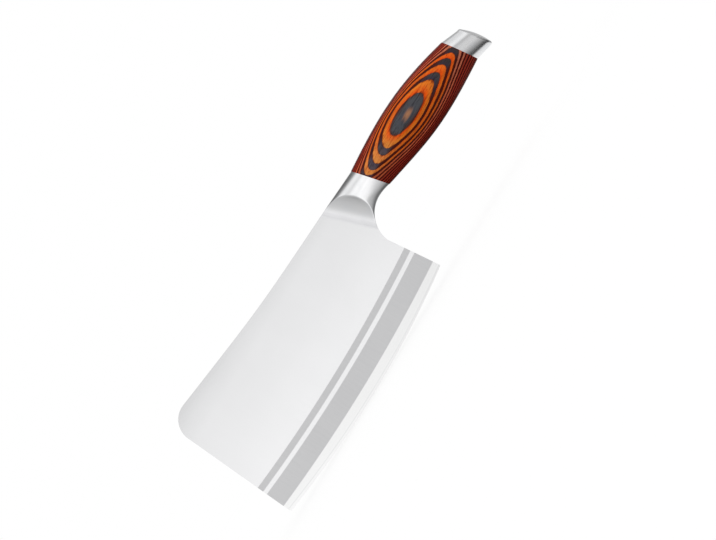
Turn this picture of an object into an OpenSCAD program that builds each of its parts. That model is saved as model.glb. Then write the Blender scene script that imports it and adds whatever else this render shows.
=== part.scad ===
// Chinese cleaver: a ground steel blade, a scooped bolster, a grip of dyed veneers and a steel end cap.
// It is drawn with X along the knife from the toe to the butt, Z up to the spine and Y through the blade.
// Profiles are drawn from the toe corner of the edge, and the finished part is moved to its own origin.

/* [Blade] */
// Length of the cutting edge, from the toe to the heel
edge_len = 172.8; // [160:0.1:200]
// Thickness of the blade stock
blade_t = 2.2; // [1.8:0.1:3]
// Height of the spine at the nose, above the toe
nose_h = 88.2; // [84:0.1:100]
// Distance of the nose's end along the spine, from the toe
nose_x = 20; // [18:0.5:26]
// Radius of the rounded nose
nose_r = 14; // [8:0.5:16]
// Lean of the front line, in degrees
front_lean = 3.6; // [2:0.1:6]
// Radius of the curved edge
edge_r = 640; // [500:5:900]
// Depth of the edge's belly below the toe
edge_belly = 5.6; // [4:0.1:7]
// Distance of the belly's lowest point from the toe
edge_low_x = 82; // [75:1:90]
// Slope of the spine behind the nose, in degrees
spine_start = -6.3; // [-8:0.1:-5]
// Slope of the spine where it meets the wood, in degrees
spine_end = -2.3; // [-4:0.1:0]

/* [Grind] */
// Radius of the grind lines
grind_r = 1000; // [800:10:1400]
// Height of the top grind line above the edge's lowest point
grind_top = 26.4; // [22:0.1:30]
// Height of the middle grind line above the edge's lowest point
grind_mid = 19.7; // [16:0.1:21]
// Thickness of the blade at the middle grind line
grind_mid_t = 2.08; // [1.6:0.01:2.1]
// Height of the edge bevel above the edge's lowest point
bevel_h = 7.4; // [5:0.1:10]
// Thickness of the blade at the top of the edge bevel
bevel_t = 1.4; // [1:0.05:1.6]
// Height of the honed strip along the edge
hone_h = 1.2; // [0.8:0.1:2]
// Thickness at the top of the honed strip
hone_t = 0.4; // [0.3:0.05:0.6]
// Thickness left at the very edge
edge_t = 0.06; // [0.04:0.01:0.1]

/* [Bolster] */
// Distance from the heel to the middle of the joint with the wood, along X
neck_len = 22.4; // [18:0.1:30]
// Height of the middle of that joint above the toe
neck_z = 64.3; // [60:0.1:70]
// Height of the joint's face
neck_h = 24.5; // [20:0.1:28]
// Lean of the joint's face, in degrees
neck_lean = 13.4; // [0:0.1:16]
// Thickness of the bolster at the wood
neck_t = 16; // [13:0.1:18]
// Radius of the choil, the curve behind the heel
choil_r = 20; // [16:0.5:24]
// Distance of the choil's centre behind the heel
choil_x = 16.2; // [14:0.1:18]
// Height of the choil's centre above the toe
choil_z = 33.8; // [30:0.1:36]
// Length of the bolster along the spine, from the weld with the blade to the wood
bolster_len = 31.8; // [26:0.1:36]
// Lean of the weld between blade and bolster, in degrees
weld_lean = 19.2; // [14:0.1:22]
// Depth of the weld's lower end below the choil's crest
weld_drop = 9.2; // [7:0.1:12]
// Radius of the scoop ground into each side
scoop_r = 24.4; // [18:0.1:30]
// Thickness of the bolster's form at the weld, before the scoops are ground
form_front_t = 10; // [8:0.1:16]
// Height of the blade's tongue inside the bolster
tongue_h = 14; // [10:0.5:16]
// Thickness of the tongue
tongue_t = 1.2; // [0.8:0.1:1.4]
// Solid steel between the end of the tongue and the wood
web_len = 8.6; // [8:0.1:12]
// Gap round the tongue in its pocket
tongue_gap = 0.05; // [0.02:0.01:0.1]

/* [Grip] */
// Length of the wood along its own middle line
grip_len = 93.2; // [85:0.1:110]
// Slope of the grip's middle line, in degrees
grip_slope = -3.4; // [-6:0.1:0]
// Height of the wood's face at the end cap
butt_h = 23.9; // [20:0.1:28]
// Lean of that face, in degrees
butt_lean = 7.7; // [0:0.1:12]
// Thickness of the grip at the end cap
butt_t = 15.4; // [12:0.1:18]
// Thickness of the grip at its belly
belly_t = 24.2; // [21:0.1:28]
// Distance of the belly's thickest place from the bolster
belly_x = 43.9; // [35:0.1:55]
// How gently the thickness turns over at the belly
belly_round = 2.1; // [1:0.1:4]
// How much fuller the grip is towards the spine, 0 for an even oval
egg_lean = 0.28; // [0:0.01:0.35]
// Sharpness of the grip's crown along each side, 2 for an ellipse and less for a keener crown
crown_power = 1.7; // [1.5:0.05:2]
// Fullness of its flanks, 2 for an ellipse and more for fuller flanks
flank_power = 2.5; // [2:0.1:3]
// Slope of the grip's top where it leaves the bolster, in degrees
top_start = 5.5; // [3:0.1:9]
// Slope of the grip's top where the wood ends, in degrees
top_end = -14.3; // [-18:0.1:-10]
// Slope of the grip's underside where it leaves the bolster, in degrees
under_start = -10.3; // [-14:0.1:-6]
// Slope of the grip's underside at the end cap, in degrees
under_end = 4.9; // [0:0.1:8]

/* [Veneers] */
// Thicknesses of the outer slate veneers, from the outside in
slate_t = [0.88, 0.56, 0.59, 0.52]; // [0.3:0.01:1]
// Thicknesses of the outer orange veneers, from the outside in
orange_t = [0.82, 0.66, 0.49]; // [0.3:0.01:1]
// Thickness of each red or tan veneer in the grip's core
core_veneer_t = 0.6; // [0.5:0.05:1.2]

/* [End cap] */
// Length of the end cap along its underside
cap_len = 13.7; // [11:0.1:18]
// Slope of the cap's top line, in degrees
cap_fall = -18; // [-22:0.1:-14]
// Slope of the cap's underside, in degrees
cap_drop = -9.2; // [-12:0.1:-4]
// Lean of the cap's end face, in degrees
cap_lean = 10.8; // [8:0.1:16]
// Thickness of the cap at its end face
cap_t = 12.8; // [11:0.1:15]
// Radius of the rounding round the end face
cap_round = 1.6; // [1:0.1:2.5]
// Height of the end face's dome
cap_dome = 0.9; // [0.5:0.1:1.5]

/* [Tang] */
// Diameter of the tang rod
rod_d = 6; // [5:0.1:7]
// Diameter of the bore through the wood
bore_d = 9; // [8:0.1:10]
// Depth of the rod in the bolster
rod_in_neck = 6; // [4:0.1:6.5]
// Depth of the rod in the end cap
rod_in_cap = 7.5; // [5:0.1:8]
// Gap round the rod and round its bedding
rod_gap = 0.05; // [0.02:0.01:0.1]

/* [Hidden] */

// Points in a ring of the grip, rings along the wood, rings along the bolster, and steps in a curve
ring_n = 28;
wood_rings = 14;
neck_rings = 12;
curve_n = 24;
arc_n = 10;
// How far the curves lean on their end slopes, as a share of their span
spine_pull = [0.5, 0.6];
top_pull = [0.4, 0.4];
under_pull = [0.4, 0.5];
// Overlap of cutting shapes past the faces that they cut
past = 1;

function unit(a) = [cos(a), sin(a)];
function along(p, q, s) = p + (q - p) * s;
function lean_dir(a) = [-sin(a), cos(a)];
function mm(p) = [p[0], 0, p[1]];

// A smooth curve from p to q that leaves p at slope a and reaches q at slope b
function curve(p, q, a, b, pull) =
    let (span = norm(q - p), p1 = p + unit(a) * span * pull[0], q1 = q - unit(b) * span * pull[1])
    [for (i = [0:curve_n])
        let (t = i / curve_n)
        p * pow(1 - t, 3) + p1 * 3 * t * pow(1 - t, 2) + q1 * 3 * t * t * (1 - t) + q * pow(t, 3)];

// The two joint faces of the wood, each as its top and bottom points
heel = [edge_len, 0];
neck_mid = [edge_len + neck_len, neck_z];
neck_top = neck_mid + lean_dir(neck_lean) * neck_h / 2;
neck_bottom = neck_mid - lean_dir(neck_lean) * neck_h / 2;
butt_mid = neck_mid + unit(grip_slope) * grip_len;
butt_top = butt_mid + lean_dir(butt_lean) * butt_h / 2;
butt_bottom = butt_mid - lean_dir(butt_lean) * butt_h / 2;

// The cap's end face, where its underside and its falling top line stop
cap_bottom = butt_bottom + unit(cap_drop) * cap_len;
cap_top = let (
        u = unit(cap_fall),
        v = lean_dir(cap_lean),
        d = cap_bottom - butt_top,
        s = (d[0] * v[1] - d[1] * v[0]) / (u[0] * v[1] - u[1] * v[0])
    )
    butt_top + u * s;

// Outlines of the spine, of the grip's top and of its underside
nose_end = [nose_x, nose_h];
spine_line = curve(nose_end, neck_top, spine_start, spine_end, spine_pull);
top_line = curve(neck_top, butt_top, top_start, top_end, top_pull);
under_line = curve(neck_bottom, butt_bottom, under_start, under_end, under_pull);

// The choil: a tangent from the heel, an arc, and a flatter arc that runs out to the wood
choil = [edge_len + choil_x, choil_z];
choil_reach = norm(choil - heel);
heel_angle = atan2(choil_z, choil_x) + asin(choil_r / choil_reach);
choil_crest = choil_z + choil_r;
choil_fall = choil_crest - neck_bottom[1];

function choil_height(x) =
    x < choil[0]
        ? choil_z + sqrt(max(0, choil_r * choil_r - pow(x - choil[0], 2)))
        : choil_crest - choil_fall * pow((x - choil[0]) / (neck_bottom[0] - choil[0]), 2);

// The weld between blade and bolster, a straight line from the spine down to the choil
weld_top = [neck_top[0] - bolster_len, lookup(neck_top[0] - bolster_len, spine_line)];
weld_end_x = weld_top[0] + (weld_top[1] - choil_crest + weld_drop) * tan(weld_lean);
weld_bottom = [weld_end_x, choil_height(weld_end_x)];

// The tongue's outline from bottom to top: it starts in the weld and stops a web ahead of the wood
function tongue(gap, front) =
    let (
        from = (weld_top + weld_bottom) / 2 - [front, 0],
        to = neck_mid - [web_len - gap, 0],
        rise_from = (weld_top - weld_bottom) / norm(weld_top - weld_bottom) * (tongue_h / 2 + gap),
        rise_to = lean_dir(neck_lean) * (tongue_h / 2 + gap)
    )
    [from - rise_from, to - rise_to, to + rise_to, from + rise_from];

// Width of a section at a turn from its top: own is 0 for a plain ellipse and 1 for the wood's own section
function width_at(a, own) =
    let (crown = along(2, crown_power, own), flank = along(2, flank_power, own))
    pow(1 - pow(abs(cos(a)), crown), 1 / flank) * (1 + own * egg_lean * cos(a));

function widest(own) = max([for (a = [0:90]) width_at(a, own)]);

// A ring of the grip between a top and a bottom point
function ring(top, bottom, half_t, own = 1) =
    let (mid = (top + bottom) / 2, arm = (top - bottom) / 2, wide = widest(own))
    [for (i = [0:ring_n - 1])
        let (a = 360 * i / ring_n, p = mid + arm * cos(a))
        [p[0], half_t * sign(180 - a) * width_at(a, own) / wide, p[1]]];

// A closed skin over rings of equal length
module skin(rings) {
    n = len(rings[0]);
    last = len(rings) - 1;
    points = [for (r = rings) each r];
    sides = [for (k = [0:last - 1], i = [0:n - 1])
        let (a = k * n + i, b = k * n + (i + 1) % n)
        each [[a, b, b + n], [a, b + n, a + n]]];
    front = [[for (i = [n - 1:-1:0]) i]];
    back = [[for (i = [0:n - 1]) last * n + i]];
    polyhedron(points, concat(front, sides, back), convexity = 4);
}

// A plate in the plane of the blade, drawn from its outline
module plate(outline, t) {
    rotate([90, 0, 0]) linear_extrude(t, center = true) polygon(outline);
}

// A wedge that turns about a far centre above the edge, given as radius and half thickness
module ground_form(centre_x, radius, profile) {
    both = concat(profile, [for (i = [len(profile) - 1:-1:0]) [profile[i][0], -profile[i][1]]]);
    translate([centre_x, 0, radius - edge_belly])
        rotate([90, 0, 0])
            rotate_extrude(angle = 30, start = 255, $fn = 720)
                polygon(both);
}

// Height above the edge that the ground forms reach, past the nose
ground_h = nose_h + edge_belly + past;

// The two flat grinds above the edge bevel
module grind() {
    upper_slope = (blade_t - grind_mid_t) / 2 / (grind_top - grind_mid);
    lower_slope = (grind_mid_t - bevel_t) / 2 / (grind_mid - bevel_h);
    ground_form(edge_low_x, grind_r, [
        [grind_r - ground_h, blade_t / 2 + upper_slope * (ground_h - grind_top)],
        [grind_r - grind_mid, grind_mid_t / 2],
        [grind_r + past, grind_mid_t / 2 - lower_slope * (grind_mid + past)]
    ]);
}

// The edge bevel and the honed strip below it
module edge_bevel() {
    bevel_slope = (bevel_t - hone_t) / 2 / (bevel_h - hone_h);
    ground_form(edge_low_x, edge_r, [
        [edge_r - ground_h, bevel_t / 2 + bevel_slope * (ground_h - bevel_h)],
        [edge_r - hone_h, hone_t / 2],
        [edge_r, edge_t / 2]
    ]);
}

module blade() {
    below = -edge_belly - past;
    front = lean_dir(-front_lean);
    nose_in = nose_end - lean_dir(spine_start) * nose_r;
    nose_turn = 90 + spine_start + front_lean;
    nose_centre = [
        nose_r / cos(front_lean) + nose_in[1] * tan(front_lean),
        nose_in[1]
    ];
    spine_from = nose_centre + lean_dir(spine_start) * nose_r;
    outline = concat(
        [front * below / front[1], heel + unit(heel_angle) * below / sin(heel_angle)],
        [for (i = [0:2 * arc_n])
            let (x = choil[0] - choil_r * sin(heel_angle) * cos(90 * i / 2 / arc_n))
            if (x < weld_bottom[0])
                [x, choil_height(x)]],
        [weld_bottom, weld_top],
        [for (i = [curve_n:-1:0])
            if (spine_line[i][0] < weld_top[0] && spine_line[i][0] > spine_from[0])
                spine_line[i]],
        [for (i = [0:arc_n])
            nose_centre + lean_dir(spine_start + nose_turn * i / arc_n) * nose_r]
    );
    color("gainsboro") {
        intersection() {
            plate(outline, blade_t);
            grind();
            edge_bevel();
        }
        plate(tongue(0, past), tongue_t);
    }
}

module bolster_form() {
    skin([for (k = [0:neck_rings])
        let (
            s = k / neck_rings,
            x_top = along(weld_top[0], neck_top[0], s),
            x_bottom = along(weld_bottom[0], neck_bottom[0], s)
        )
        ring(
            [x_top, lookup(x_top, spine_line)],
            [x_bottom, choil_height(x_bottom)],
            along(form_front_t, neck_t, s) / 2,
            s
        )]);
}

// A scoop starts flush with the blade's face at the weld and rises from there
module scoop(side) {
    lean = weld_top - weld_bottom;
    translate(mm((weld_top + weld_bottom) / 2) + [0, side * (blade_t / 2 + scoop_r), 0])
        rotate([0, atan2(lean[0], lean[1]), 0])
            cylinder(h = 2 * norm(lean), r = scoop_r, center = true, $fn = 120);
}

// A hole or rod on the grip's middle line, from s0 to s1 past the front joint
module on_axis(s0, s1, d) {
    translate(mm(neck_mid))
        rotate([0, 90 - grip_slope, 0])
            translate([0, 0, s0])
                cylinder(h = s1 - s0, d = d, $fn = 48);
}

module bolster() {
    color("silver")
        difference() {
            bolster_form();
            plate(tongue(tongue_gap, past), tongue_t + 2 * tongue_gap);
            scoop(-1);
            scoop(1);
            on_axis(-rod_in_neck, rod_d, rod_d + 2 * rod_gap);
        }
}

module tang_rod() {
    color("dimgray") on_axis(-rod_in_neck + rod_gap, grip_len + rod_in_cap - rod_gap, rod_d);
}

// The space between the two joint faces
module between_joints() {
    plate([neck_bottom, butt_bottom, butt_top, neck_top], bore_d + past);
}

module tang_bedding() {
    color("wheat")
        difference() {
            intersection() {
                on_axis(-rod_in_neck, grip_len + rod_in_cap, bore_d - 2 * rod_gap);
                between_joints();
            }
            on_axis(-2 * rod_in_neck, grip_len + 2 * rod_in_cap, rod_d + 2 * rod_gap);
        }
}

// Half thickness of the wood at a distance behind the bolster: straight slopes that turn over at the belly
function wood_half(x) =
    let (
        ahead = x < belly_x,
        fall = (belly_t - (ahead ? neck_t : butt_t)) / 2,
        reach = ahead ? belly_x : grip_len - belly_x,
        steep = sqrt(pow(fall + belly_round, 2) - pow(belly_round, 2)) / reach
    )
    belly_t / 2 + belly_round - sqrt(pow(belly_round, 2) + pow(steep * (x - belly_x), 2));

module grip_form() {
    skin([for (k = [0:wood_rings])
        let (
            s = k / wood_rings,
            x_top = along(neck_top[0], butt_top[0], s),
            x_bottom = along(neck_bottom[0], butt_bottom[0], s)
        )
        ring(
            [x_top, lookup(x_top, top_line)],
            [x_bottom, lookup(x_bottom, under_line)],
            wood_half(s * grip_len)
        )]);
}

// The outer veneers of each side, slate and orange in turn, and the odd number of core veneers between them
outer_n = len(slate_t) + len(orange_t);

function outer_t(k) = k % 2 == 0 ? slate_t[k / 2] : orange_t[(k - 1) / 2];

function outer_depth(k) = k == 0 ? 0 : outer_depth(k - 1) + outer_t(k - 1);

core_half = belly_t / 2 - outer_depth(outer_n);
core_n = 2 * floor(core_half / core_veneer_t) + 1;
core_t = 2 * core_half / core_n;

// The whole stack: dye, lower face and upper face of each veneer along Y
stack = concat(
    [for (k = [0:core_n - 1])
        let (y = -core_half + k * core_t)
        [k % 2 == 0 ? "tan" : "red", y, y + core_t]],
    [for (side = [-1, 1], k = [0:outer_n - 1])
        let (
            a = side * (belly_t / 2 - outer_depth(k)),
            b = side * (belly_t / 2 - outer_depth(k + 1))
        )
        [k % 2 == 0 ? "slate" : "orange", min(a, b), max(a, b)]]
);

// All the veneers of one dye, cut from the grip and bored for the tang
module veneers(dye) {
    difference() {
        intersection() {
            grip_form();
            for (v = stack)
                if (v[0] == dye)
                    translate([neck_bottom[0] - neck_h, v[1], 0])
                        cube([grip_len + 2 * neck_h, v[2] - v[1], 2 * neck_z]);
        }
        on_axis(-neck_h, grip_len + neck_h, bore_d);
    }
}

module slate_veneers() {
    color("darkslategray") veneers("slate");
}

module orange_veneers() {
    color("darkorange") veneers("orange");
}

module tan_veneers() {
    color("peru") veneers("tan");
}

module red_veneers() {
    color("maroon") veneers("red");
}

// The cap's rings: the joint with the wood, the rounding round the end face, and the end face's dome
cap_up = lean_dir(cap_lean);
cap_out = unit(cap_lean);
cap_steps = 4;
// Angle round the dome at which its last ring stops, for a small flat face in the middle
dome_turn = 80;
cap_rings = concat(
    [ring(butt_top, butt_bottom, butt_t / 2)],
    [for (i = [0:cap_steps])
        let (
            a = 90 * i / cap_steps,
            inset = cap_up * cap_round * (1 - cos(a)),
            push = cap_out * cap_round * (sin(a) - 1)
        )
        ring(cap_top - inset + push, cap_bottom + inset + push, cap_t / 2 - norm(inset))],
    [for (i = [1:cap_steps])
        let (
            share = cos(dome_turn * i / cap_steps),
            mid = (cap_top + cap_bottom) / 2 + cap_out * cap_dome * (1 - share * share),
            arm = cap_up * (norm(cap_top - cap_bottom) / 2 - cap_round) * share
        )
        ring(mid + arm, mid - arm, (cap_t / 2 - cap_round) * share)]
);

module end_cap() {
    color("silver")
        difference() {
            skin(cap_rings);
            on_axis(grip_len - neck_h, grip_len + rod_in_cap, rod_d + 2 * rod_gap);
        }
}

// The part's own origin: the middle of its length and thickness, at the lowest point of the edge
knife_len = max([for (r = cap_rings, p = r) p[0]]);

module placed() {
    translate([-knife_len / 2, 0, edge_belly]) children();
}

placed() blade();
placed() bolster();
placed() tang_rod();
placed() tang_bedding();
placed() slate_veneers();
placed() orange_veneers();
placed() tan_veneers();
placed() red_veneers();
placed() end_cap();
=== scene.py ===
import math

import bmesh
import bpy
from mathutils import Matrix, Vector, noise


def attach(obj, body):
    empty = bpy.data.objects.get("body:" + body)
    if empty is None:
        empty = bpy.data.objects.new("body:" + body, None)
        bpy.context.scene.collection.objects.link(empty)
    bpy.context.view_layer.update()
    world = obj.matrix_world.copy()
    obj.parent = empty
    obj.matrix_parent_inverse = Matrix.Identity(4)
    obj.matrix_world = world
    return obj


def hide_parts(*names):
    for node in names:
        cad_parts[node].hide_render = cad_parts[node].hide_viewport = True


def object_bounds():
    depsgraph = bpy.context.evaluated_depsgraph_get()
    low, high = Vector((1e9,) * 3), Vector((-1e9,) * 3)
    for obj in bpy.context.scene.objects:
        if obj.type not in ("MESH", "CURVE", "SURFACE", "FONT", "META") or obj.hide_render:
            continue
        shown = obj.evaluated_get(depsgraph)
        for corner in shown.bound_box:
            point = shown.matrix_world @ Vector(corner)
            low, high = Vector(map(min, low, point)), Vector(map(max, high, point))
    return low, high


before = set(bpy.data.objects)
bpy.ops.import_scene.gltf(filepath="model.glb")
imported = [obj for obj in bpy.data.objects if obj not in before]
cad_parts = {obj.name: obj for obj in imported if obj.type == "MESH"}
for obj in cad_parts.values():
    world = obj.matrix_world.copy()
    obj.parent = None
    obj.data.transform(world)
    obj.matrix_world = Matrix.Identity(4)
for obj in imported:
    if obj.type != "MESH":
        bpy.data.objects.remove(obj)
cadLow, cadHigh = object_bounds()
print("frame loaded:", len(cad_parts), "nodes")

mm = 0.001

# The knife's outline is drawn in millimetres from the toe corner of the edge: x along the knife, z up.
# The two joint faces of the wood lean, so each is given by its middle, its height and its lean in degrees.
outline = {
    "edgeBelly": 5.6,
    "bladeThick": 2.2,
    "noseTop": (20, 88.2),
    "spineSlopes": (-6.3, -2.3),
    "spinePulls": (0.5, 0.6),
    "neckMiddle": (195.2, 64.3),
    "neckHeight": 24.5,
    "neckLean": 13.4,
    "neckThick": 16,
    "woodLength": 93.2,
    "woodSlope": -3.4,
    "buttHeight": 23.9,
    "buttLean": 7.7,
    "buttThick": 15.4,
    "bellyThick": 24.2,
    "bellyAt": 43.9,
    "bellyRound": 2.1,
    "topSlopes": (5.5, -14.3),
    "topPulls": (0.4, 0.4),
    "underSlopes": (-10.3, 4.9),
    "underPulls": (0.4, 0.5),
    "egg": 0.28,
    "crownPower": 1.7,
    "flankPower": 2.5,
    "stripTurn": 4,
    "choilMiddle": (189, 33.8),
    "choilRadius": 20,
}
toeX = -cadHigh.x / mm


def inFrame(x, y, z):
    # from the drawing's millimetres to the frame's metres
    return Vector(((toeX + x) * mm, y * mm, (z + outline["edgeBelly"]) * mm))


def slopeDir(degrees):
    turn = math.radians(degrees)
    return Vector((math.cos(turn), math.sin(turn)))


def leanDir(degrees):
    turn = math.radians(degrees)
    return Vector((-math.sin(turn), math.cos(turn)))


def sweptLine(start, end, slopes, pulls, steps=96):
    # a smooth line that leaves start at the first slope and reaches end at the second
    span = (end - start).length
    near = start + slopeDir(slopes[0]) * span * pulls[0]
    far = end - slopeDir(slopes[1]) * span * pulls[1]
    line = []
    for step in range(steps + 1):
        t = step / steps
        line.append(start * (1 - t) ** 3 + near * 3 * t * (1 - t) ** 2 + far * 3 * t * t * (1 - t) + end * t ** 3)
    return line


def heightOn(line, x):
    for a, b in zip(line, line[1:]):
        if x <= b.x:
            return a.y + (b.y - a.y) * (x - a.x) / (b.x - a.x)
    return line[-1].y


def lerp(a, b, share):
    return a + (b - a) * share


neckMiddle = Vector(outline["neckMiddle"])
neckTop = neckMiddle + leanDir(outline["neckLean"]) * outline["neckHeight"] / 2
neckBottom = neckMiddle - leanDir(outline["neckLean"]) * outline["neckHeight"] / 2
buttMiddle = neckMiddle + slopeDir(outline["woodSlope"]) * outline["woodLength"]
buttTop = buttMiddle + leanDir(outline["buttLean"]) * outline["buttHeight"] / 2
buttBottom = buttMiddle - leanDir(outline["buttLean"]) * outline["buttHeight"] / 2
spineLine = sweptLine(Vector(outline["noseTop"]), neckTop, outline["spineSlopes"], outline["spinePulls"])
topLine = sweptLine(neckTop, buttTop, outline["topSlopes"], outline["topPulls"])
underLine = sweptLine(neckBottom, buttBottom, outline["underSlopes"], outline["underPulls"])
choilMiddle = Vector(outline["choilMiddle"])
choilCrest = choilMiddle.y + outline["choilRadius"]


def choilHeight(x):
    if x < choilMiddle.x:
        return choilMiddle.y + math.sqrt(max(0, outline["choilRadius"] ** 2 - (x - choilMiddle.x) ** 2))
    fall = (x - choilMiddle.x) / (neckBottom.x - choilMiddle.x)
    return choilCrest - (choilCrest - neckBottom.y) * fall * fall


def rawWidth(turn, own, ridge):
    # width of a section at a turn from its top; own is 0 for a plain ellipse and 1 for the wood's own section
    crown, flank = lerp(2, outline["crownPower"] - ridge, own), lerp(2, outline["flankPower"], own)
    reach = math.cos(turn)
    return max(0, 1 - abs(reach) ** crown) ** (1 / flank) * (1 + own * outline["egg"] * reach)


widest = {}


def sectionWidth(turn, own, ridge):
    if (own, ridge) not in widest:
        widest[own, ridge] = max(rawWidth(math.radians(degree), own, ridge) for degree in range(181))
    return math.copysign(rawWidth(turn, own, ridge) / widest[own, ridge], math.sin(turn))


def section(top, bottom, halfThick, turn, own=1, flat=0, ridge=0):
    # a point of the section between top and bottom; flat is half the width of the level strip along its top and
    # bottom, and ridge is how much sharper the middle of the side is
    middle, arm = (top + bottom) / 2, (top - bottom) / 2
    place = middle + arm * math.cos(turn)
    level = max(-1, min(1, math.sin(turn) / math.sin(math.radians(outline["stripTurn"]))))
    side = flat * level + (halfThick - flat) * sectionWidth(turn, own, ridge)
    return inFrame(place.x, side, place.y)


def onlySelect(piece):
    bpy.ops.object.select_all(action="DESELECT")
    piece.select_set(True)
    bpy.context.view_layer.objects.active = piece


def loftTube(name, ringCount, pointCount, placeOf):
    # a cylinder extruded ring by ring, and every ring then drawn to its section
    bpy.ops.object.select_all(action="DESELECT")
    bpy.ops.mesh.primitive_cylinder_add(vertices=pointCount, radius=1, depth=1, location=(0, 0, 0.5))
    piece = bpy.context.object
    piece.name = piece.data.name = name
    bpy.ops.object.transform_apply(location=True, rotation=True, scale=True)
    bpy.ops.object.mode_set(mode="EDIT")
    bpy.ops.mesh.select_all(action="DESELECT")
    mesh = bmesh.from_edit_mesh(piece.data)
    for face in mesh.faces:
        face.select_set(face.normal.z > 0.9)
    bmesh.update_edit_mesh(piece.data)
    for ring in range(ringCount - 2):
        bpy.ops.mesh.extrude_region_move(TRANSFORM_OT_translate={"value": (0, 0, 1)})
    mesh = bmesh.from_edit_mesh(piece.data)
    for vert in mesh.verts:
        turn = math.atan2(vert.co.x, vert.co.y)
        vert.co = placeOf(round(vert.co.z) / (ringCount - 1), turn)
    bmesh.update_edit_mesh(piece.data)
    bpy.ops.mesh.select_all(action="SELECT")
    bpy.ops.mesh.normals_make_consistent(inside=False)
    bpy.ops.object.mode_set(mode="OBJECT")
    return piece


def boreOut(piece, start, end, diameter, points=64):
    # a round hole between two points, in the frame's metres
    bpy.ops.object.select_all(action="DESELECT")
    bpy.ops.mesh.primitive_cylinder_add(vertices=points, radius=diameter / 2, depth=(end - start).length)
    drill = bpy.context.object
    turned = (end - start).to_track_quat("Z", "Y").to_matrix().to_4x4()
    drill.matrix_world = Matrix.Translation((start + end) / 2) @ turned
    cutWith(piece, drill)


def cutWith(piece, tool):
    onlySelect(piece)
    cut = piece.modifiers.new("cut", "BOOLEAN")
    cut.operation = "DIFFERENCE"
    cut.solver = "EXACT"
    cut.object = tool
    bpy.ops.object.modifier_apply(modifier=cut.name)
    bpy.data.objects.remove(tool)


def smoothByAngle(piece, degrees):
    onlySelect(piece)
    bpy.ops.object.shade_smooth_by_angle(angle=math.radians(degrees))


def paint(red, green, blue):
    # a colour as a picture editor shows it, from 0 to 255, as the shader wants it
    return (*((((c / 255 + 0.055) / 1.055) ** 2.4 if c > 10 else c / 3295) for c in (red, green, blue)), 1)


def newMaterial(name, metal=0):
    material = bpy.data.materials.new(name)
    material.use_nodes = True
    shader = material.node_tree.nodes["Principled BSDF"]
    shader.inputs["Metallic"].default_value = metal
    return material, material.node_tree, shader


def addNode(tree, kind, **settings):
    made = tree.nodes.new("ShaderNode" + kind)
    for name, value in settings.items():
        setattr(made, name, value)
    return made


def feed(tree, socket, value):
    # a socket takes either another node's output or a plain value
    if isinstance(value, bpy.types.NodeSocket):
        tree.links.new(value, socket)
    else:
        socket.default_value = value


def sums(tree, operation, a, b=0.0, c=0.0):
    made = addNode(tree, "Math", operation=operation)
    for socket, value in zip(made.inputs, (a, b, c)):
        feed(tree, socket, value)
    return made.outputs[0]


def hypotenuse(tree, a, b):
    return sums(tree, "SQRT", sums(tree, "MULTIPLY_ADD", a, a, sums(tree, "MULTIPLY", b, b)))


def toShare(tree, value):
    # from a value between -1 and 1 to a share between 0 and 1
    return sums(tree, "MULTIPLY_ADD", value, 0.5, 0.5)


def unevenly(tree, value, grain, amount):
    # the value, moved both ways by a grain that has its middle at one half
    return sums(tree, "MULTIPLY_ADD", grain, amount, sums(tree, "ADD", value, -amount / 2))


def rise(tree, value, low, high, start=0.0, end=1.0):
    # a soft step from start to end while the value goes from low to high
    made = addNode(tree, "MapRange", interpolation_type="SMOOTHSTEP")
    for socket, given in zip(made.inputs, (value, low, high, start, end)):
        feed(tree, socket, given)
    return made.outputs[0]


def between(tree, value, low, high, soft):
    # 1 between low and high and 0 outside, with a soft step at both
    risen = rise(tree, value, low - soft / 2, low + soft / 2)
    return sums(tree, "MULTIPLY", risen, rise(tree, value, high - soft / 2, high + soft / 2, 1, 0))


def blend(tree, share, a, b, kind="MIX"):
    made = addNode(tree, "Mix", data_type="RGBA", blend_type=kind)
    feed(tree, made.inputs[0], share)
    feed(tree, made.inputs[6], a)
    feed(tree, made.inputs[7], b)
    return made.outputs[2]


def colourRun(tree, value, stops):
    made = addNode(tree, "ValToRGB")
    points = made.color_ramp.elements
    while len(points) < len(stops):
        points.new(1)
    for point, (place, colour) in zip(points, stops):
        point.position, point.color = place, colour
    feed(tree, made.inputs[0], value)
    return made.outputs[0]


def greyRun(tree, value, stops):
    return colourRun(tree, value, [(place, (tone, tone, tone, 1)) for place, tone in stops])


def placeOn(tree, scale=(1, 1, 1), turn=0.0):
    # object coordinates in metres, scaled, and turned in the plane of the blade
    made = addNode(tree, "Mapping")
    made.inputs["Scale"].default_value = scale
    made.inputs["Rotation"].default_value = (0, math.radians(turn), 0)
    tree.links.new(addNode(tree, "TexCoord").outputs["Object"], made.inputs["Vector"])
    return made.outputs[0]


def splitUp(tree, place):
    # the x, y and z of a place
    made = addNode(tree, "SeparateXYZ")
    tree.links.new(place, made.inputs[0])
    return made.outputs[0], made.outputs[1], made.outputs[2]


# most of what a grain gives lies between these two
grainSpan = (0.3, 0.7)


def grainOf(tree, place, scale=1.0, detail=3.0, rough=0.5):
    made = addNode(tree, "TexNoise")
    tree.links.new(place, made.inputs["Vector"])
    made.inputs["Scale"].default_value = scale
    made.inputs["Detail"].default_value = detail
    made.inputs["Roughness"].default_value = rough
    return made.outputs[0]


def stretched(tree, scale, detail, rough, turn=0.0):
    # a grain that is finer along some axes than along others
    return grainOf(tree, placeOn(tree, scale, turn), 1, detail, rough)


def bumped(tree, shader, height, depth):
    made = addNode(tree, "Bump")
    made.inputs["Distance"].default_value = depth * mm
    tree.links.new(height, made.inputs["Height"])
    tree.links.new(made.outputs[0], shader.inputs["Normal"])


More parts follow.
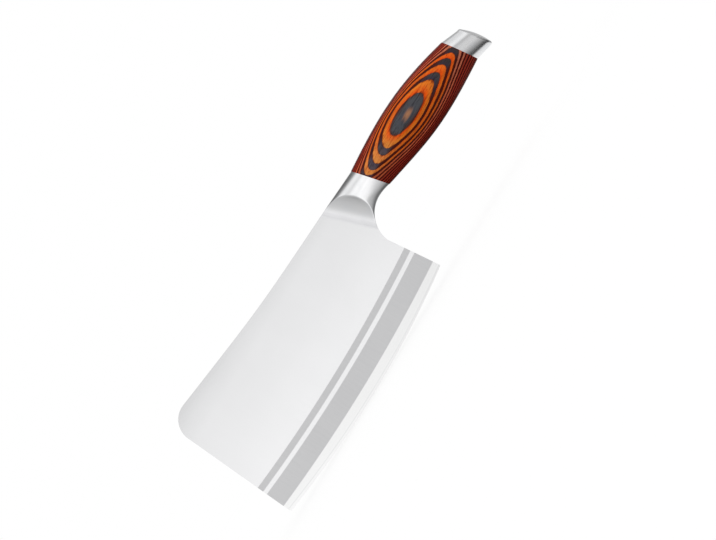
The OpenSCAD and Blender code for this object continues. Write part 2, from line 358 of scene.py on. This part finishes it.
def satinSteel(name, look, paintedShade=None):
    # polished steel with fine lines along its length and cloudy wear, and a painted shade, a darker colour, where it is
    # asked for
    material, tree, shader = newMaterial(name, 1)
    lines = stretched(tree, *look["lines"])
    cloud = grainOf(tree, placeOn(tree), look["cloudScale"])
    tone = blend(tree, rise(tree, lines, *grainSpan), look["colour"], look["lineColour"])
    tone = blend(tree, rise(tree, cloud, *look["cloudSpan"]), tone, look["cloudColour"])
    # a painted shade: the steel takes a darker colour where the given share says
    if paintedShade:
        tone = blend(tree, paintedShade(tree), tone, look["weldShadeColour"])
    tree.links.new(tone, shader.inputs["Base Color"])
    feed(tree, shader.inputs["Roughness"], rise(tree, cloud, *grainSpan, *look["roughness"]))
    bumped(tree, shader, lines, look["lineDepth"])
    return material


def rodPoint(along):
    place = neckMiddle + slopeDir(outline["woodSlope"]) * along
    return inFrame(place.x, 0, place.y)


# Bolster: the steel head between the blade and the wood, with a scoop ground into each side
bolsterSizes = {
    "length": 31.8,
    "weldLean": 19.2,
    "weldDrop": 9.2,
    "frontThick": 10,
    "scoopRadius": 24.4,
    "creaseRound": 0.25,
    "rodHole": 6.1,
    "rodDepth": 6,
    "rings": 150,
    "points": 240,
}
weldTop = Vector((neckTop.x - bolsterSizes["length"], heightOn(spineLine, neckTop.x - bolsterSizes["length"])))
weldHigh = weldTop.y - choilCrest + bolsterSizes["weldDrop"]
weldX = weldTop.x + weldHigh * math.tan(math.radians(bolsterSizes["weldLean"]))
weldBottom = Vector((weldX, choilHeight(weldX)))
weldDir = (weldTop - weldBottom).normalized()
weldNormal = Vector((weldDir.y, -weldDir.x))


def scoopedSide(place, side):
    # the half width left where the scoop is lower than the form, with a small rounding at the crease
    reach = (place - weldBottom).dot(weldNormal)
    radius, thinnest = bolsterSizes["scoopRadius"], outline["bladeThick"] / 2
    ground = thinnest + radius - math.sqrt(max(0, radius * radius - reach * reach))
    soft = bolsterSizes["creaseRound"]
    apart = abs(side) - ground
    rounded = (abs(side) + ground - math.sqrt(apart * apart + soft * soft)) / 2
    return math.copysign(min(abs(side), max(rounded, min(thinnest, abs(side)))), side)


def bolsterPoint(share, turn):
    topX = lerp(weldTop.x, neckTop.x, share)
    bottomX = lerp(weldBottom.x, neckBottom.x, share)
    top = Vector((topX, heightOn(spineLine, topX)))
    bottom = Vector((bottomX, choilHeight(bottomX)))
    half = lerp(bolsterSizes["frontThick"], outline["neckThick"], share) / 2
    flat = outline["bladeThick"] / 2 * (1 - share)
    point = section(top, bottom, half, turn, share, flat)
    place = (top + bottom) / 2 + (top - bottom) / 2 * math.cos(turn)
    point.y = scoopedSide(place, point.y / mm) * mm
    return point


def pastWeld(tree):
    # distance past the weld, in millimetres
    x, _, z = splitUp(tree, placeOn(tree))
    start = inFrame(weldBottom.x, 0, weldBottom.y).dot(Vector((weldNormal.x, 0, weldNormal.y)))
    along = sums(tree, "MULTIPLY_ADD", x, weldNormal.x / mm, -start / mm)
    return sums(tree, "MULTIPLY_ADD", z, weldNormal.y / mm, along)


bolster = loftTube("bolsterSteel", bolsterSizes["rings"], bolsterSizes["points"], bolsterPoint)
boreOut(bolster, rodPoint(-bolsterSizes["rodDepth"]), rodPoint(bolsterSizes["rodDepth"]), bolsterSizes["rodHole"] * mm)
smoothByAngle(bolster, 40)
# Its lines are given as every grain below: how often they repeat in a metre of x, y and z, their detail and their
# roughness, and where they are turned, by how many degrees
bolsterLook = {
    "colour": paint(254, 254, 254),
    "lineColour": paint(250, 250, 252),
    "cloudColour": paint(248, 249, 251),
    "weldShadeColour": paint(225, 225, 227),
    "weldShadeTo": (1.5, 5),
    "lines": ((90, 2600, 2600), 4, 0.6),
    "lineDepth": 0.002,
    "cloudScale": 120,
    "cloudSpan": (0.35, 0.75),
    "roughness": (0.13, 0.2),
}
# the bolster is painted darker for a few millimetres past the weld, a painted shade
bolster.data.materials.append(
    satinSteel("bolsterSatin", bolsterLook, lambda tree: rise(tree, pastWeld(tree), *bolsterLook["weldShadeTo"], 1, 0))
)
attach(bolster, "root")
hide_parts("bolster")
print("bolster made:", len(bolster.data.polygons), "faces")

# Grip: one form, cut into veneers
woodSizes = {
    "boreDiameter": 9,
    "boreOver": 10,
    "rings": 150,
    "points": 160,
    "slate": (0.8, 0.56, 0.59, 0.52),
    "orange": (0.9, 0.66, 0.49),
    "core": 0.41,
    "overcut": 1,
    "uneven": ((0.09, (45, 30, 60), 0), (0.045, (110, 60, 170), 7)),
    "evenEnds": 12,
    "ridge": 0.22,
    "ridgeSpans": ((0, 0.08, 0.14, 0.34), (0.66, 0.84, 0.93, 1)),
}


def woodHalf(behind):
    # half thickness of the wood: straight slopes that turn over at the belly
    belly, bellyRound = outline["bellyAt"], outline["bellyRound"]
    ahead = behind < belly
    fall = (outline["bellyThick"] - outline["neckThick" if ahead else "buttThick"]) / 2
    reach = belly if ahead else outline["woodLength"] - belly
    steep = math.sqrt((fall + bellyRound) ** 2 - bellyRound ** 2) / reach
    return outline["bellyThick"] / 2 + bellyRound - math.hypot(bellyRound, steep * (behind - belly))


def smoothStep(low, high, value):
    share = max(0, min(1, (value - low) / (high - low)))
    return share * share * (3 - 2 * share)


def gripPoint(share, turn):
    topX = lerp(neckTop.x, buttTop.x, share)
    bottomX = lerp(neckBottom.x, buttBottom.x, share)
    half = woodHalf(share * outline["woodLength"])
    # toward both ends the side has a soft ridge, which gives the rings their points
    ridge = 0
    for a, b, c, d in woodSizes["ridgeSpans"]:
        ridge += woodSizes["ridge"] * smoothStep(a, b, share) * (1 - smoothStep(c, d, share))
    top, bottom = Vector((topX, heightOn(topLine, topX))), Vector((bottomX, heightOn(underLine, bottomX)))
    point = section(top, bottom, half, turn, 1, 0, ridge)
    # the hand that sanded it left it a little uneven, which is what makes the rings uneven
    fade = min(1, share * woodSizes["evenEnds"], (1 - share) * woodSizes["evenEnds"]) * abs(math.sin(turn))
    uneven = 0
    for depth, often, shift in woodSizes["uneven"]:
        uneven += depth * noise.noise(Vector((point.x * often[0], point.y * often[1] + shift, point.z * often[2])))
    point.y += uneven * mm * fade
    return point


gripForm = loftTube("gripForm", woodSizes["rings"], woodSizes["points"], gripPoint)
# how far each point of the surface turns away from the side: the dyes are painted darker on the flanks and at the rims,
# a painted shade
tilt = gripForm.data.attributes.new("tilt", "FLOAT", "POINT")
for vert in gripForm.data.vertices:
    tilt.data[vert.index].value = math.sqrt(max(0, 1 - vert.normal.y ** 2))
boreEnd = rodPoint(outline["woodLength"] + woodSizes["boreOver"])
boreOut(gripForm, rodPoint(-woodSizes["boreOver"]), boreEnd, woodSizes["boreDiameter"] * mm)

# Each dye: its colour toward the outer face of a veneer and toward the inner one, its painted shade on the flanks of
# the grip, where the next dye has bled in, and in the streaks of its grain
dyeLooks = {
    "slate": {
        "outer": paint(74, 69, 92),
        "inner": paint(85, 87, 92),
        "flank": paint(86, 22, 8),
        "flankFrom": (0.16, 0.34),
        "bled": paint(92, 44, 20),
        "streak": paint(40, 34, 38),
        "patch": paint(92, 78, 74),
        "left": paint(98, 82, 92),
        "right": paint(58, 38, 34),
        "streaks": 0.8,
    },
    "orange": {
        "outer": paint(255, 92, 8),
        "inner": paint(254, 142, 40),
        "flank": paint(230, 104, 30),
        "flankFrom": (0.22, 0.5),
        "bled": paint(112, 36, 8),
        "streak": paint(150, 40, 8),
        "patch": paint(236, 142, 52),
        "left": paint(244, 160, 84),
        "right": paint(255, 86, 6),
        "streaks": 0.5,
    },
    "tan": {
        "outer": paint(220, 110, 74),
        "inner": paint(214, 100, 66),
        "flank": paint(224, 92, 58),
        "flankFrom": (0.3, 0.8),
        "bled": paint(120, 40, 22),
        "streak": paint(128, 42, 24),
        "patch": paint(208, 128, 92),
        "left": paint(182, 92, 54),
        "right": paint(204, 128, 98),
        "streaks": 0.7,
    },
    "red": {
        "outer": paint(82, 12, 5),
        "inner": paint(76, 10, 4),
        "flank": paint(64, 6, 3),
        "flankFrom": (0.3, 0.8),
        "bled": paint(108, 32, 14),
        "streak": paint(46, 4, 2),
        "patch": paint(116, 32, 16),
        "left": paint(100, 26, 8),
        "right": paint(88, 12, 10),
        "streaks": 0.8,
    },
}
# What is the same for all dyes. Each share: the two values that it runs between, and what it is at both
woodLook = {
    "gloss": 0.08,
    "roughness": (0.28, 0.38),
    "pores": ((90, 2200, 2200), 4, 0.65),
    "fibres": ((40, 700, 700), 5, 0.65),
    "patches": ((70, 190, 190), 4, 0.6),
    "poreDepth": 0.012,
    "acrossSpan": (0.1, 0.8),
    "fibreSpan": (0.5, 0.72),
    "poreShare": (0.5, 0.66, 0, 0.65),
    "patchShare": (0.48, 0.7, 0, 0.8),
    "bleedUneven": 1.4,
    "bleedShare": (0.72, 1.08, 0, 0.8),
    "leftSpan": (204, 230),
    "rightSpan": (250, 282),
    "endTint": 0.65,
    "tanCore": paint(160, 44, 30),
    "redCore": paint(66, 6, 5),
    "coreShare": (5.7, 6.4, 0.9, 0),
    "rimShadeColour": paint(24, 5, 3),
    "rimShadeShare": (0.84, 0.98, 0, 0.6),
    "eyeAt": (239.2, 65.2),
    "eyeHalf": (6, 2.1),
    "eyeColour": paint(196, 136, 96),
    "eyeUneven": 1.2,
    "eyeShare": (0.15, 1.1, 0.85, 0),
}


def dyedWood(dye, look):
    material, tree, shader = newMaterial(dye + "Dyed")
    x, y, z = splitUp(tree, placeOn(tree))
    pores, fibres, patches = (stretched(tree, *woodLook[kind]) for kind in ("pores", "fibres", "patches"))
    across = addNode(tree, "Attribute", attribute_name="across").outputs["Fac"]
    tilt = addNode(tree, "Attribute", attribute_name="tilt").outputs["Fac"]
    tone = blend(tree, rise(tree, across, *woodLook["acrossSpan"]), look["outer"], look["inner"])
    tone = blend(tree, rise(tree, patches, *woodLook["patchShare"]), tone, look["patch"])
    along = [inFrame(at, 0, 0).x for at in (*woodLook["leftSpan"], *woodLook["rightSpan"])]
    tone = blend(tree, rise(tree, x, *along[:2], woodLook["endTint"], 0), tone, look["left"])
    tone = blend(tree, rise(tree, x, *along[2:], 0, woodLook["endTint"]), tone, look["right"])
    # a painted shade: the dye takes a darker colour where the surface turns away from the side
    tone = blend(tree, rise(tree, tilt, *look["flankFrom"]), tone, look["flank"])
    if dye + "Core" in woodLook:
        # the core gets redder toward the middle of its thickness
        depth = sums(tree, "MULTIPLY", sums(tree, "ABSOLUTE", y), 1 / mm)
        tone = blend(tree, rise(tree, depth, *woodLook["coreShare"]), tone, woodLook[dye + "Core"])
    # the next dye bleeds along the fibres at both faces of the veneer
    nearFace = sums(tree, "ABSOLUTE", sums(tree, "MULTIPLY_ADD", across, 2, -1))
    bleed = unevenly(tree, nearFace, fibres, woodLook["bleedUneven"])
    tone = blend(tree, rise(tree, bleed, *woodLook["bleedShare"]), tone, look["bled"])
    tone = blend(tree, rise(tree, fibres, *woodLook["fibreSpan"], 0, look["streaks"]), tone, look["streak"])
    tone = blend(tree, rise(tree, pores, *woodLook["poreShare"]), tone, look["streak"])
    # the edges of the grip are painted near black, a painted shade where the surface turns away
    tone = blend(tree, rise(tree, tilt, *woodLook["rimShadeShare"]), tone, woodLook["rimShadeColour"])
    if dye == "slate":
        # the last trace of one more veneer, in the middle of the rings
        middle = inFrame(woodLook["eyeAt"][0], 0, woodLook["eyeAt"][1])
        wide, high = (1 / (half * mm) for half in woodLook["eyeHalf"])
        aside = sums(tree, "MULTIPLY_ADD", x, wide, -middle.x * wide)
        above = sums(tree, "MULTIPLY_ADD", z, high, -middle.z * high)
        away = unevenly(tree, hypotenuse(tree, aside, above), fibres, woodLook["eyeUneven"])
        tone = blend(tree, rise(tree, away, *woodLook["eyeShare"]), tone, woodLook["eyeColour"])
    tree.links.new(tone, shader.inputs["Base Color"])
    shader.inputs["Specular IOR Level"].default_value = woodLook["gloss"]
    feed(tree, shader.inputs["Roughness"], rise(tree, patches, *grainSpan, *woodLook["roughness"]))
    bumped(tree, shader, pores, woodLook["poreDepth"])
    return material


# The stack: slate and orange in turn from both sides inward, and tan and dark red in the core
layers = []
face = outline["bellyThick"] / 2
for index in range(len(woodSizes["slate"]) + len(woodSizes["orange"])):
    dye = "slate" if index % 2 == 0 else "orange"
    thick = woodSizes[dye][index // 2]
    outer = face if index else face + woodSizes["overcut"]
    layers += [(dye, face - thick, outer), (dye, -outer, thick - face)]
    face -= thick
coreCount = 2 * math.floor(face / woodSizes["core"]) + 1
coreThick = 2 * face / coreCount
for index in range(coreCount):
    low = -face + index * coreThick
    layers.append(("tan" if index % 2 == 0 else "red", low, low + coreThick))


def cutVeneer(low, high):
    # a copy of the grip's form, bisected at both faces of the veneer
    slab = gripForm.copy()
    slab.data = gripForm.data.copy()
    bpy.context.collection.objects.link(slab)
    onlySelect(slab)
    bpy.ops.object.mode_set(mode="EDIT")
    for at, below in ((low, True), (high, False)):
        bpy.ops.mesh.select_all(action="SELECT")
        bpy.ops.mesh.bisect(
            plane_co=(0, at * mm, 0),
            plane_no=(0, 1, 0),
            use_fill=True,
            clear_inner=below,
            clear_outer=not below,
            threshold=1e-7,
        )
    bpy.ops.object.mode_set(mode="OBJECT")
    # how far each point is from the veneer's outer face to its inner one, from 0 to 1
    across = slab.data.attributes.new("across", "FLOAT", "POINT")
    outer, inner = max(abs(low), abs(high)) * mm, min(abs(low), abs(high)) * mm
    if low * high < 0:
        inner = 0
    for vert in slab.data.vertices:
        across.data[vert.index].value = (outer - abs(vert.co.y)) / (outer - inner)
    return slab


for dye in dyeLooks:
    slabs = [cutVeneer(low, high) for name, low, high in layers if name == dye]
    bpy.ops.object.select_all(action="DESELECT")
    for slab in slabs:
        slab.select_set(True)
    bpy.context.view_layer.objects.active = slabs[0]
    bpy.ops.object.join()
    piece = bpy.context.object
    piece.name = piece.data.name = dye + "Veneers"
    piece.data.materials.append(dyedWood(dye, dyeLooks[dye]))
    smoothByAngle(piece, 40)
    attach(piece, "root")
    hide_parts(dye + "_veneers")
    print(dye, "veneers cut:", len(slabs), "slabs,", len(piece.data.polygons), "faces")
bpy.data.objects.remove(gripForm)

# End cap: rounded round its end face, which is slightly domed
capSizes = {
    "length": 13.7,
    "topSlope": -18,
    "underSlope": -9.2,
    "lean": 10.8,
    "thick": 12.8,
    "round": 1.6,
    "dome": 1.2,
    "rodHole": 6.1,
    "rodBefore": 8,
    "rodDepth": 7.5,
    "bodyRings": 24,
    "roundRings": 12,
    "domeRings": 16,
    "points": 160,
}
capBottom = buttBottom + slopeDir(capSizes["underSlope"]) * capSizes["length"]
capUp, capOut = leanDir(capSizes["lean"]), slopeDir(capSizes["lean"])
fallDir, gap = slopeDir(capSizes["topSlope"]), capBottom - buttTop
fallLength = (gap.x * capUp.y - gap.y * capUp.x) / (fallDir.x * capUp.y - fallDir.y * capUp.x)
capTop = buttTop + fallDir * fallLength


def capRing(index):
    # top point, bottom point and half thickness of one ring
    body, turnRings, domeRings = capSizes["bodyRings"], capSizes["roundRings"], capSizes["domeRings"]
    radius, half = capSizes["round"], capSizes["thick"] / 2
    middle, arm = (capTop + capBottom) / 2, (capTop - capBottom).length / 2
    if index < body:
        share = index / body
        top = buttTop.lerp(capTop - capOut * radius, share)
        bottom = buttBottom.lerp(capBottom - capOut * radius, share)
        return top, bottom, lerp(outline["buttThick"] / 2, half, share)
    if index < body + turnRings:
        turn = math.pi / 2 * (index - body) / turnRings
        inset, push = radius * (1 - math.cos(turn)), radius * (math.sin(turn) - 1)
        return capTop - capUp * inset + capOut * push, capBottom + capUp * inset + capOut * push, half - inset
    share = math.cos(math.pi / 2 * (index - body - turnRings + 0.5) / (domeRings + 0.5))
    centre = middle + capOut * capSizes["dome"] * (1 - share * share)
    reach = capUp * (arm - radius) * share
    return centre + reach, centre - reach, (half - radius) * share


capRings = capSizes["bodyRings"] + capSizes["roundRings"] + capSizes["domeRings"]
cap = loftTube(
    "capSteel", capRings, capSizes["points"], lambda share, turn: section(*capRing(round(share * (capRings - 1))), turn)
)
holeStart = rodPoint(outline["woodLength"] - capSizes["rodBefore"])
holeEnd = rodPoint(outline["woodLength"] + capSizes["rodDepth"])
boreOut(cap, holeStart, holeEnd, capSizes["rodHole"] * mm)
smoothByAngle(cap, 50)
cap.data.materials.append(satinSteel("capSatin", bolsterLook))
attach(cap, "root")
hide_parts("end_cap")
print("end cap made:", len(cap.data.polygons), "faces")

# Blade: the frame's own solid, which only takes a finish. Its tones go by height, a painted reflection that is darker
# toward the spine, and its bands and its hone line by the height over an arc
bladeLook = {
    "tones": ((88, 222), (80, 233), (70, 241), (50, 244), (26, 250)),
    "tonesTo": 100,
    "edgeColour": paint(254, 254, 254),
    "lines": ((2600, 2600, 22), 5, 0.6),
    "lineShare": (0.45, 0.85, 0, 0.2),
    "lineColour": paint(226, 227, 229),
    "lineDepth": 0.004,
    "coarse": ((1500, 1500, 60), 4, 0.65),
    "streakShare": (0.3, 0.8, 0, 0.5),
    "bandColour": paint(223, 223, 224),
    "bandStreak": paint(214, 214, 216),
    "bands": ((7.4, 19.7), (22.4, 26.4)),
    "bandSoft": 0.25,
    "grindMiddleX": 82,
    "grindRadius": 1000,
    "honeMiddleX": 86.4,
    "honeRadius": 669,
    "honeAt": 1.8,
    "honeWide": 0.25,
    "honeShare": 0.5,
    "weldColour": paint(236, 236, 238),
    "weldWide": 1.6,
    "cloudScale": 35,
    "cloudDetail": 2,
    "roughness": (0.22, 0.24),
    "bandRoughness": 0.4,
}


def heightOverArc(tree, middleX, radius):
    # height above an arc that turns about a far centre over the edge, in millimetres
    x, _, z = splitUp(tree, placeOn(tree))
    centre = inFrame(middleX, 0, radius - outline["edgeBelly"])
    reach = hypotenuse(tree, sums(tree, "SUBTRACT", x, centre.x), sums(tree, "SUBTRACT", z, centre.z))
    return sums(tree, "MULTIPLY_ADD", reach, -1 / mm, radius)


def bladeFinish(look):
    material, tree, shader = newMaterial("bladeSatin", 1)
    lines, coarse = stretched(tree, *look["lines"]), stretched(tree, *look["coarse"])
    cloud = grainOf(tree, placeOn(tree), look["cloudScale"], look["cloudDetail"])
    # a painted reflection: the blade's grey runs darker toward the spine
    heightShare = sums(tree, "MULTIPLY", splitUp(tree, placeOn(tree))[2], 1 / (look["tonesTo"] * mm))
    stops = []
    for high, grey in reversed(look["tones"]):
        stops.append(((high + outline["edgeBelly"]) / look["tonesTo"], paint(grey, grey, grey + 1)))
    tone = colourRun(tree, heightShare, stops)
    tone = blend(tree, rise(tree, lines, *look["lineShare"]), tone, look["lineColour"])
    height = heightOverArc(tree, look["grindMiddleX"], look["grindRadius"])
    soft, lowest = look["bandSoft"], look["bands"][0][0]
    tone = blend(tree, rise(tree, height, lowest - soft, lowest + soft), look["edgeColour"], tone)
    bandShare = 0.0
    for low, high in look["bands"]:
        bandShare = sums(tree, "ADD", bandShare, between(tree, height, low, high, soft))
    bandTone = blend(tree, rise(tree, coarse, *look["streakShare"]), look["bandColour"], look["bandStreak"])
    tone = blend(tree, bandShare, tone, bandTone)
    hone = heightOverArc(tree, look["honeMiddleX"], look["honeRadius"])
    halfHone = look["honeWide"] / 2
    honeLine = between(tree, hone, look["honeAt"] - halfHone, look["honeAt"] + halfHone, look["honeWide"])
    tone = blend(tree, sums(tree, "MULTIPLY", honeLine, look["honeShare"]), tone, look["lineColour"])
    # a faint line where the blade is welded to the bolster
    tone = blend(tree, rise(tree, pastWeld(tree), -look["weldWide"], 0), tone, look["weldColour"])
    tree.links.new(tone, shader.inputs["Base Color"])
    plain = rise(tree, cloud, *grainSpan, *look["roughness"])
    rougher = look["bandRoughness"] - look["roughness"][1]
    feed(tree, shader.inputs["Roughness"], sums(tree, "MULTIPLY_ADD", bandShare, rougher, plain))
    bumped(tree, shader, sums(tree, "MULTIPLY_ADD", bandShare, coarse, lines), look["lineDepth"])
    return material


# Rod and bedding: the frame's own solids too, out of sight inside the wood
rodLook = {
    "colour": paint(188, 188, 190),
    "lineColour": paint(170, 170, 173),
    "cloudColour": paint(150, 148, 146),
    "lines": ((2200, 2200, 90), 4, 0.6, 90),
    "lineDepth": 0.006,
    "cloudScale": 200,
    "cloudSpan": (0.35, 0.75),
    "roughness": (0.4, 0.55),
}
beddingLook = {
    "colour": paint(220, 202, 168),
    "cloudColour": paint(205, 184, 146),
    "cloudScale": 260,
    "cloudDetail": 4,
    "cloudDepth": 0.02,
    "roughness": (0.4, 0.6),
}


def setResin(look):
    material, tree, shader = newMaterial("resin")
    cloud = grainOf(tree, placeOn(tree), look["cloudScale"], look["cloudDetail"])
    tone = blend(tree, rise(tree, cloud, *grainSpan), look["colour"], look["cloudColour"])
    tree.links.new(tone, shader.inputs["Base Color"])
    feed(tree, shader.inputs["Roughness"], rise(tree, cloud, *grainSpan, *look["roughness"]))
    bumped(tree, shader, cloud, look["cloudDepth"])
    return material


def finishNode(name, material):
    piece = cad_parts[name]
    piece.data.materials.clear()
    piece.data.materials.append(material)


finishNode("tang_rod", satinSteel("rodSteel", rodLook))
finishNode("tang_bedding", setResin(beddingLook))
finishNode("blade", bladeFinish(bladeLook))
print("blade, rod and bedding finished")

# Camera: it faces the knife's left side, rolled so that the toe is at the picture's lower left
view = {
    "roll": 58.33,
    "lens": 200,
    "sensor": 36,
    "pixel": 0.6,
    "imageWide": 716,
    "middleX": 144.3,
    "middleZ": 41.5,
    "clipEnd": 50,
}
viewWide = view["pixel"] * view["imageWide"] * mm
camera = bpy.data.objects.new("camera", bpy.data.cameras.new("camera"))
bpy.context.collection.objects.link(camera)
camera.data.lens = view["lens"]
camera.data.sensor_width = view["sensor"]
distance = view["lens"] / view["sensor"] * viewWide
roll = math.radians(view["roll"])
pictureRight = Vector((math.cos(roll), 0, -math.sin(roll)))
pictureUp = Vector((math.sin(roll), 0, math.cos(roll)))
turned = Matrix((pictureRight, pictureUp, Vector((0, -1, 0)))).transposed().to_4x4()
camera.matrix_world = Matrix.Translation(inFrame(view["middleX"], -distance / mm, view["middleZ"])) @ turned
camera.data.clip_end = view["clipEnd"]
bpy.context.scene.camera = camera

# Floor: the camera sees it mostly as plain white, with a share of its shade
floorLook = {"size": 12, "roughness": 0.9, "plain": 0.7, "white": 1.05}
bpy.ops.object.select_all(action="DESELECT")
bpy.ops.mesh.primitive_plane_add(size=floorLook["size"], location=(0, 0, 0))
floor = bpy.context.object
floor.name = "floor"
floorPaint, tree, shader = newMaterial("floorPaint")
shader.inputs["Base Color"].default_value = (1, 1, 1, 1)
shader.inputs["Roughness"].default_value = floorLook["roughness"]
plainWhite = addNode(tree, "Emission")
plainWhite.inputs["Strength"].default_value = floorLook["white"]
shadeOrPlain = addNode(tree, "MixShader")
toCamera = addNode(tree, "LightPath").outputs["Is Camera Ray"]
feed(tree, shadeOrPlain.inputs[0], sums(tree, "MULTIPLY", toCamera, floorLook["plain"]))
tree.links.new(shader.outputs[0], shadeOrPlain.inputs[1])
tree.links.new(plainWhite.outputs[0], shadeOrPlain.inputs[2])
tree.links.new(shadeOrPlain.outputs[0], tree.nodes["Material Output"].inputs["Surface"])
floor.data.materials.append(floorPaint)
floor.visible_glossy = False
floor.visible_diffuse = False

# Studio: what the steel mirrors, given as elevation in degrees and brightness. 0 is level in front of the knife's
# left side, 90 straight up, 180 level behind it and -90 straight down. The two ends of the room differ. The sides
# darken both of them, from 0 past the blade to 1 past the grip, and so does what is behind the grip's end. The soft
# light on the wood goes by height, from 0 straight down to 1 straight up.
studio = {
    "bladeEnd": (
        (-180, 0.93),
        (-152, 0.9),
        (-138, 0.4),
        (-122, 0.1),
        (-86, 0.12),
        (-74, 0.26),
        (-62, 0.4),
        (-48, 0.62),
        (-36, 0.9),
        (-18, 1),
        (-9, 0.9),
        (0, 0.97),
        (8, 0.95),
        (16, 0.74),
        (22, 0.7),
        (30, 0.8),
        (45, 0.83),
        (55, 0.66),
        (64, 0.48),
        (72, 0.28),
        (96, 0.15),
        (136, 0.12),
        (144, 0.4),
        (154, 0.9),
        (180, 0.93),
    ),
    "gripEnd": (
        (-180, 0.9),
        (-150, 0.85),
        (-138, 0.5),
        (-118, 0.2),
        (-85, 0.15),
        (-74, 0.2),
        (-60, 0.36),
        (-42, 0.5),
        (-20, 0.62),
        (-2, 0.62),
        (6, 0.5),
        (12, 0.47),
        (17, 0.6),
        (23, 0.85),
        (32, 0.88),
        (44, 0.84),
        (60, 0.75),
        (100, 0.76),
        (120, 0.63),
        (148, 0.5),
        (160, 0.88),
        (180, 0.9),
    ),
    "endSlant": 0.18,
    "endFrom": (0.06, 0.16),
    "sides": (
        (0, 0.48),
        (0.1, 0.5),
        (0.2, 0.57),
        (0.275, 0.66),
        (0.335, 0.8),
        (0.395, 1.06),
        (0.455, 1.06),
        (0.485, 1),
        (0.72, 1),
        (0.78, 0.86),
        (0.87, 0.74),
        (1, 0.66),
    ),
    "behindGrip": 0.66,
    "behindFrom": (-0.1, 0.5),
    "besideFrom": (0.16, 0.4),
    "soft": ((0, 0.02), (0.25, 0.08), (0.46, 1.04), (0.56, 1.15), (0.78, 0.94), (1, 0.82)),
}
# A card under the end cap, which only shiny pieces mirror. Its tones go from the camera's side to the far one, with
# a dark stripe that moves as the cap narrows, and its outer end is darker.
card = {
    "near": 118,
    "far": 230,
    "halfWide": 115,
    "height": 12,
    "tones": (
        (0, 0.66),
        (0.183, 0.46),
        (0.252, 0.28),
        (0.3, 0.1),
        (0.335, 0.03),
        (0.362, 0.03),
        (0.378, 0.72),
        (0.5, 0.84),
        (1, 0.84),
    ),
    "narrowing": 0.0011,
    "narrowFrom": 140,
    "endShade": (164, 192, 1, 0.35),
}
bpy.ops.object.select_all(action="DESELECT")
bpy.ops.mesh.primitive_plane_add(size=1, location=((card["near"] + card["far"]) / 2 * mm, 0, card["height"] * mm))
underCard = bpy.context.object
underCard.name = "underCard"
underCard.scale = ((card["far"] - card["near"]) * mm, 2 * card["halfWide"] * mm, 1)
bpy.ops.object.transform_apply(location=True, rotation=True, scale=True)
underCard.visible_camera = underCard.visible_diffuse = underCard.visible_shadow = False
cardGlow, tree, shader = newMaterial("cardGlow")
shader.inputs["Base Color"].default_value = (0, 0, 0, 1)
shader.inputs["Specular IOR Level"].default_value = 0
x, y, _ = splitUp(tree, placeOn(tree, (1 / mm, 1 / card["halfWide"] / mm, 1)))
narrower = sums(tree, "MULTIPLY_ADD", x, -card["narrowing"], card["narrowing"] * card["narrowFrom"])
toBack = sums(tree, "ADD", toShare(tree, y), narrower)
feed(tree, shader.inputs["Emission Strength"], rise(tree, x, *card["endShade"]))
tree.links.new(greyRun(tree, toBack, card["tones"]), shader.inputs["Emission Color"])
underCard.data.materials.append(cardGlow)

world = bpy.data.worlds.new("studio")
bpy.context.scene.world = world
world.use_nodes = True
tree = world.node_tree
x, y, z = splitUp(tree, addNode(tree, "TexCoord").outputs["Generated"])
elevation = sums(tree, "ARCTAN2", z, sums(tree, "MULTIPLY", y, -1))
turnShare = sums(tree, "MULTIPLY_ADD", elevation, 0.5 / math.pi, 0.5)
ends = []
for name in ("bladeEnd", "gripEnd"):
    ends.append(greyRun(tree, turnShare, [((angle + 180) / 360, tone) for angle, tone in studio[name]]))
toGrip = sums(tree, "MULTIPLY_ADD", sums(tree, "MINIMUM", z, 0), -studio["endSlant"], x)
mirrored = blend(tree, rise(tree, toGrip, *studio["endFrom"]), *ends)
mirrored = blend(tree, 1, mirrored, greyRun(tree, toShare(tree, x), studio["sides"]), "MULTIPLY")
# darker behind the end cap, which draws the edge of its end
behind = sums(tree, "MULTIPLY", rise(tree, y, *studio["behindFrom"]), rise(tree, x, *studio["besideFrom"]))
mirrored = blend(tree, behind, mirrored, blend(tree, 1, mirrored, (*[studio["behindGrip"]] * 3, 1), "MULTIPLY"))
soft = greyRun(tree, toShare(tree, z), studio["soft"])
lightPath = addNode(tree, "LightPath")
seen = blend(tree, lightPath.outputs["Is Glossy Ray"], soft, mirrored)
seen = blend(tree, lightPath.outputs["Is Camera Ray"], seen, (1, 1, 1, 1))
tree.links.new(seen, tree.nodes["Background"].inputs["Color"])
print("studio lit")

bpy.context.scene.view_settings.view_transform = "Standard"

print("cad box", [round(v / mm, 2) for v in (*cadLow, *cadHigh)])
